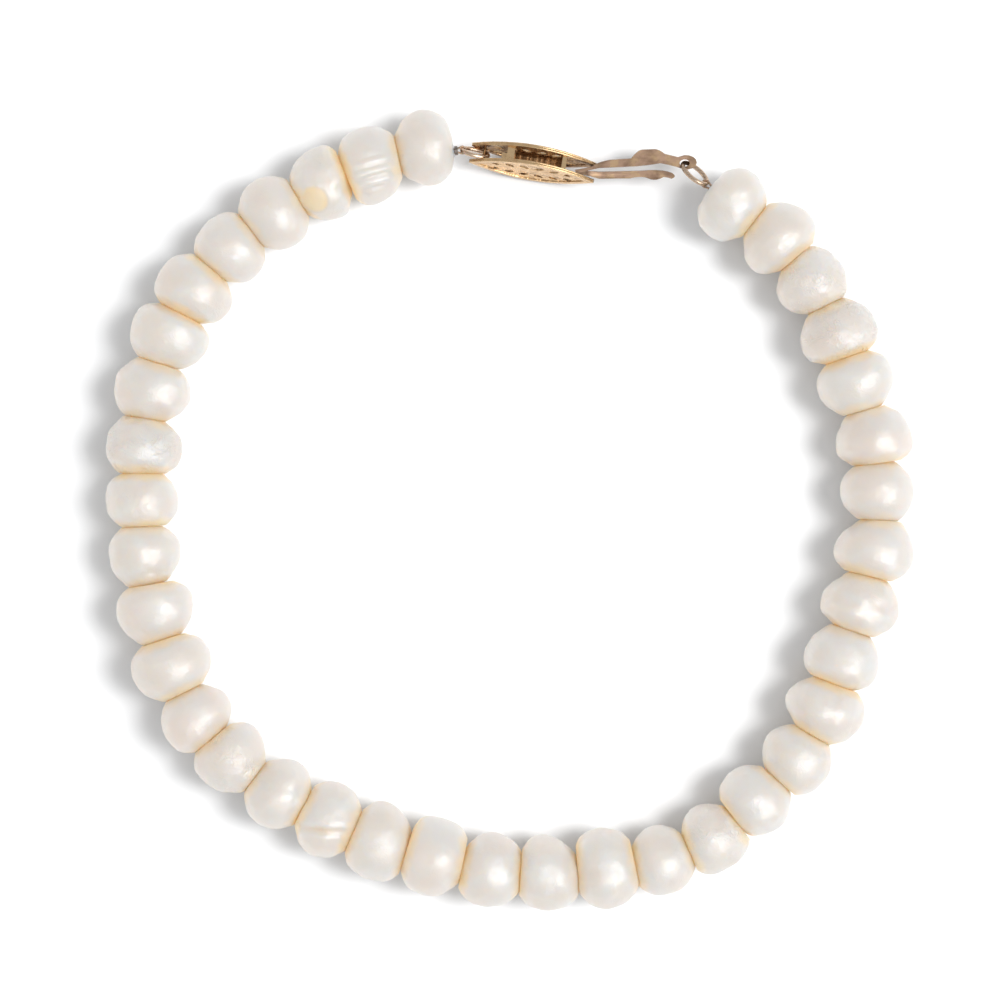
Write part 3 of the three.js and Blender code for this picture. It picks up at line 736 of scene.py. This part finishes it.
# One or more strands wound round a path: the thread's plies and the end loops' coiled wire.
def makeWinding():
    inlets = [
        ("Geometry", "NodeSocketGeometry", None), ("Points", "NodeSocketInt", 100),
        ("Strands", "NodeSocketInt", 1), ("Turns", "NodeSocketFloat", 10.0),
        ("Winding Radius", "NodeSocketFloat", 0.1), ("Strand Radius", "NodeSocketFloat", 0.05),
        ("Material", "NodeSocketMaterial", None),
    ]
    outlets = [("Geometry", "NodeSocketGeometry")]
    tree, given, result = newTree("winding", "GeometryNodeTree", inlets, outlets)
    copies = addNode(tree, "GeometryNodeDuplicateElements", domain="SPLINE")
    tree.links.new(given["Geometry"], copies.inputs["Geometry"])
    tree.links.new(given["Strands"], copies.inputs["Amount"])
    keep = addNode(tree, "GeometryNodeStoreNamedAttribute", data_type="INT", domain="CURVE")
    keep.inputs["Name"].default_value = "strand"
    tree.links.new(copies.outputs["Geometry"], keep.inputs["Geometry"])
    tree.links.new(copies.outputs["Duplicate Index"], keep.inputs["Value"])
    even = addNode(tree, "GeometryNodeResampleCurve")
    tree.links.new(keep.outputs[0], even.inputs["Curve"])
    tree.links.new(given["Points"], even.inputs["Count"])
    which = addNode(tree, "GeometryNodeInputNamedAttribute", data_type="INT")
    which.inputs["Name"].default_value = "strand"
    share = maths(tree, "DIVIDE", which.outputs[0], given["Strands"])
    along = addNode(tree, "GeometryNodeSplineParameter").outputs["Factor"]
    turn = maths(tree, "MULTIPLY", maths(tree, "ADD", share, maths(tree, "MULTIPLY", along, given["Turns"])),
                 2 * math.pi)
    normal = addNode(tree, "GeometryNodeInputNormal").outputs[0]
    tangent = addNode(tree, "GeometryNodeInputTangent").outputs[0]
    side = vectorMaths(tree, "CROSS_PRODUCT", tangent, normal)
    offset = vectorMaths(tree, "ADD", scaled(tree, normal, maths(tree, "COSINE", turn)),
                         scaled(tree, side, maths(tree, "SINE", turn)))
    moved = addNode(tree, "GeometryNodeSetPosition")
    tree.links.new(even.outputs[0], moved.inputs["Geometry"])
    tree.links.new(scaled(tree, offset, maths(tree, "MULTIPLY", given["Winding Radius"], mm)),
                   moved.inputs["Offset"])
    ring = addNode(tree, "GeometryNodeCurvePrimitiveCircle")
    ring.inputs["Resolution"].default_value = 6
    tree.links.new(maths(tree, "MULTIPLY", given["Strand Radius"], mm), ring.inputs["Radius"])
    tube = addNode(tree, "GeometryNodeCurveToMesh")
    tree.links.new(moved.outputs[0], tube.inputs["Curve"])
    tree.links.new(ring.outputs[0], tube.inputs["Profile Curve"])
    tube.inputs["Fill Caps"].default_value = True
    endTree(tree, tube.outputs[0], given["Material"], result["Geometry"])
    return tree


winding = makeWinding()


def pathObject(name, points, smooth):
    curve = bpy.data.curves.new(name, "CURVE")
    curve.dimensions = "3D"
    spline = curve.splines.new("BEZIER" if smooth else "POLY")
    if smooth:
        spline.bezier_points.add(len(points) - 1)
        for corner, point in zip(spline.bezier_points, points):
            corner.co = point
            corner.handle_left_type = corner.handle_right_type = "AUTO"
    else:
        spline.points.add(len(points) - 1)
        for corner, point in zip(spline.points, points):
            corner.co = (*point, 1)
    path = bpy.data.objects.new(name, curve)
    bpy.context.scene.collection.objects.link(path)
    return path


def wound(name, points, slot, replaced, values, smooth=False):
    path = pathObject(name + "Path", points, smooth)
    useTree(path, winding, values)
    finishPiece(applied(path), name, slot, None, *([replaced] if replaced else []))


threadSet = {
    "strands": 3, "windingRadius": 0.095, "strandRadius": 0.1, "turnEvery": 1.5, "endInset": 0.7,
    "pointsPerTurn": 9,
}


def makeThread():
    inset = threadSet["endInset"] * mm
    points = [holes[0][0] + (holes[0][1] - holes[0][0]).normalized() * inset]
    for before, after in zip(holes, holes[1:]):
        points.append((before[1] + after[0]) / 2)
    points.append(holes[-1][1] - (holes[-1][1] - holes[-1][0]).normalized() * inset)
    length = sum((b - a).length for a, b in zip(points, points[1:])) / mm
    turns = length / threadSet["turnEvery"]
    wound("threadPlies", points, "thread", "thread", {
        "Points": int(turns * threadSet["pointsPerTurn"]), "Strands": threadSet["strands"], "Turns": turns,
        "Winding Radius": threadSet["windingRadius"], "Strand Radius": threadSet["strandRadius"],
        "Material": silk,
    })


# An end loop is a coil of fine wire: its legs sit in the pearl's hole and it passes round the jump ring.
loopSet = {
    "legDepth": 0.5, "legOffset": 0.12, "bend": 0.29, "reachLeft": 0.68, "reachRight": 0.46,
    "coilRadius": 0.066, "wireRadius": 0.034, "pitch": 0.075, "clearOfPearl": 0.03, "pointsPerTurn": 10,
}


def makeEndLoop(name, mouth, away, reach, nodeName):
    sideways = Vector((0, 0, 1)).cross(away)
    leg, bend = loopSet["legOffset"], loopSet["bend"]
    half = [(-loopSet["legDepth"], leg), (reach - 2 * bend, leg), (reach - 0.75 * bend, 0.7 * bend),
            (reach, bend), (reach + 0.7 * bend, 0.7 * bend)]
    flat = half + [(reach + bend, 0)] + [(along, -across) for along, across in reversed(half)]
    points = [mouth + (away * along + sideways * across) * mm for along, across in flat]
    length = sum((b - a).length for a, b in zip(points, points[1:])) / mm
    turns = length / loopSet["pitch"]
    wound(name, points, "pale_gold", nodeName, {
        "Points": int(turns * loopSet["pointsPerTurn"]), "Strands": 1, "Turns": turns,
        "Winding Radius": loopSet["coilRadius"], "Strand Radius": loopSet["wireRadius"], "Material": ringGold,
    }, smooth=True)


makeThread()
leftAway = (holes[0][0] - holes[0][1]).normalized()
rightAway = (holes[-1][1] - holes[-1][0]).normalized()
clear = loopSet["clearOfPearl"] * mm
leftMouth = holes[0][0] + leftAway * clear
rightMouth = holes[-1][1] + rightAway * clear
makeEndLoop("endCoilLeft", leftMouth, leftAway, loopSet["reachLeft"], "end_loop_left")
makeEndLoop("endCoilRight", rightMouth, rightAway, loopSet["reachRight"], "end_loop_right")
print("thread and end loops made")


# Jump rings: rounded copies of their CAD forms, thickened by what the rounding takes off.
jumpRingSet = {"levels": 2, "thicken": 0.05}


def makeJumpRing(name, nodeName):
    cage = cageOf(nodeName)
    for vert in cage.verts:
        vert.co += vert.normal * jumpRingSet["thicken"] * mm
    piece = meshObject(name, cage)
    rounding = piece.modifiers.new("round", "SUBSURF")
    rounding.levels = rounding.render_levels = jumpRingSet["levels"]
    applied(piece)
    piece.data.shade_smooth()
    finishPiece(piece, name, "pale_gold", ringGold, nodeName)


makeJumpRing("jumpRingLeft", "jump_ring_left")
makeJumpRing("jumpRingRight", "jump_ring_right")
print("jump rings made")


# The crimp and the clasp's sheet parts are copies of their CAD forms with their edges broken.
edgeSet = {
    "crimp": 0.04, "hook": 0.045, "case": 0.035, "segments": 2,
    "sharpAngle": 22, "bevelAngle": 35, "flatAngle": 2,
}


def makeBroken(name, nodeName, slot, material, width):
    cage = bmesh.new()
    cage.from_mesh(nodes[nodeName].data)
    bmesh.ops.remove_doubles(cage, verts=cage.verts, dist=1e-6)
    bmesh.ops.dissolve_limit(cage, angle_limit=math.radians(edgeSet["flatAngle"]), verts=cage.verts,
                             edges=cage.edges)
    piece = meshObject(name, cage)
    bevel = piece.modifiers.new("edges", "BEVEL")
    bevel.width = width * mm
    bevel.segments = edgeSet["segments"]
    bevel.limit_method = "ANGLE"
    bevel.angle_limit = math.radians(edgeSet["bevelAngle"])
    bevel.harden_normals = False
    applied(piece)
    piece.data.shade_smooth()
    piece.data.set_sharp_from_angle(angle=math.radians(edgeSet["sharpAngle"]))
    return finishPiece(piece, name, slot, material, nodeName)


makeBroken("endCrimp", "end_crimp", "dark_metal", crimpMetal, edgeSet["crimp"])
makeBroken("claspHook", "clasp_hook", "rose_gold", hookGold, edgeSet["hook"])

# The case turns about Z, and rolls about its own length.
caseSet = {"turn": -9.4, "roll": -11.5, "length": 10.2, "height": 4.1, "spacing": 1.4}


def caseFrame():
    lowest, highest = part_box("clasp_case")
    place = Matrix.Translation((lowest + highest) / 2)
    turn = Matrix.Rotation(math.radians(caseSet["turn"]), 4, "Z")
    roll = Matrix.Rotation(math.radians(caseSet["roll"]), 4, "X")
    return place @ turn @ roll


# Each point's place in the case's own frame, which the engraving follows.
def markPlateCoordinates(piece):
    inward = caseFrame().inverted()
    plate = piece.data.attributes.new("plate", "FLOAT_VECTOR", "POINT")
    for vert in piece.data.vertices:
        plate.data[vert.index].vector = inward @ vert.co / mm


case = makeBroken("claspCase", "clasp_case", "yellow_gold", caseGold, edgeSet["case"])
markPlateCoordinates(case)
print("clasp made")


# Two polished wires run round each plate's rim.
rimSet = {"radius": 0.075, "apart": 0.16, "inset": 0.05, "steps": 40}


def makeRimWires():
    place = caseFrame()
    halfLength = caseSet["length"] / 2 - rimSet["inset"]
    halfHeight = caseSet["height"] / 2 - rimSet["inset"]
    for label, side in (("Inner", -1), ("Outer", 1)):
        for strand in (-1, 1):
            y = side * caseSet["spacing"] / 2 + strand * rimSet["apart"] / 2
            across = [-halfLength + 2 * halfLength * i / rimSet["steps"] for i in range(rimSet["steps"] + 1)]
            edge = [(x, halfHeight * (1 - (x / halfLength) ** 2)) for x in across]
            outline = edge + [(x, -z) for x, z in reversed(edge[1:-1])] + [edge[0]]
            points = [place @ (Vector((x, y, z)) * mm) for x, z in outline]
            name = f"rimWire{label}{'A' if strand < 0 else 'B'}"
            wound(name, points, "yellow_gold", None, {
                "Points": 3 * rimSet["steps"] + 1, "Strands": 1, "Turns": 0.0, "Winding Radius": 0.0,
                "Strand Radius": rimSet["radius"], "Material": caseGold,
            })
            markPlateCoordinates(bpy.data.objects[name])


makeRimWires()
print("rim wires made")


# Floor and light
floorSet = {"size": 4.0, "paper": (0.94, 0.94, 0.945, 1), "roughness": 0.9}


def makeFloor():
    cage = bmesh.new()
    bmesh.ops.create_grid(cage, x_segments=1, y_segments=1, size=floorSet["size"])
    floor = meshObject("floor", cage)
    material, tree, shader = newMaterial("paper")
    setShader(tree, shader, Base_Color=floorSet["paper"], Roughness=floorSet["roughness"])
    floor.data.materials.append(material)
    return floor


lightSet = {
    "distance": 0.9, "skyStrength": 0.58, "skyColor": (0.975, 0.99, 1.0, 1),
    "key": {"turn": 2, "lift": 54, "size": 0.36, "power": 3.8, "color": (1.0, 1.0, 1.0)},
    "wash": {"turn": 2, "lift": 54, "size": 0.6, "power": 4.4, "color": (1.0, 1.0, 1.0)},
    "fill": {"turn": 188, "lift": 35, "size": 0.7, "power": 2.4, "color": (1.0, 0.89, 0.78)},
    "glint": {"turn": -27, "lift": 55, "size": 0.85, "power": 8.0, "color": (1.0, 1.0, 1.0)},
}


def makeLamp(name):
    values = lightSet[name]
    turn, lift = math.radians(values["turn"]), math.radians(values["lift"])
    way = Vector((math.cos(turn) * math.cos(lift), math.sin(turn) * math.cos(lift), math.sin(lift)))
    lamp = bpy.data.lights.new(name, "AREA")
    lamp.energy = values["power"]
    lamp.color = values["color"]
    lamp.size = values["size"]
    lamp.shape = "DISK"
    lamp = bpy.data.objects.new(name, lamp)
    lamp.location = way * lightSet["distance"]
    lamp.rotation_euler = way.to_track_quat("Z", "Y").to_euler()
    bpy.context.scene.collection.objects.link(lamp)
    return lamp


def linkToFloor(lamp, floor, state):
    group = bpy.data.collections.new(lamp.name + "Floor")
    group.objects.link(floor)
    group.collection_objects[0].light_linking.link_state = state
    lamp.light_linking.receiver_collection = group


# The key throws the shadows, and the wash beside it whitens the floor alone. The fill lifts the bracelet's
# left side without thinning its shadow. The glint is seen only in what shines.
def makeLights(floor):
    key, wash, fill, glint = (makeLamp(name) for name in ("key", "wash", "fill", "glint"))
    key.visible_glossy = wash.visible_glossy = fill.visible_glossy = False
    glint.visible_diffuse = False
    linkToFloor(wash, floor, "INCLUDE")
    linkToFloor(fill, floor, "EXCLUDE")
    world = bpy.data.worlds.new("studio")
    bpy.context.scene.world = world
    world.use_nodes = True
    sky = world.node_tree.nodes["Background"]
    sky.inputs["Color"].default_value = lightSet["skyColor"]
    sky.inputs["Strength"].default_value = lightSet["skyStrength"]
    bpy.context.scene.view_settings.view_transform = "Standard"


makeLights(makeFloor())
print("floor and lights made")
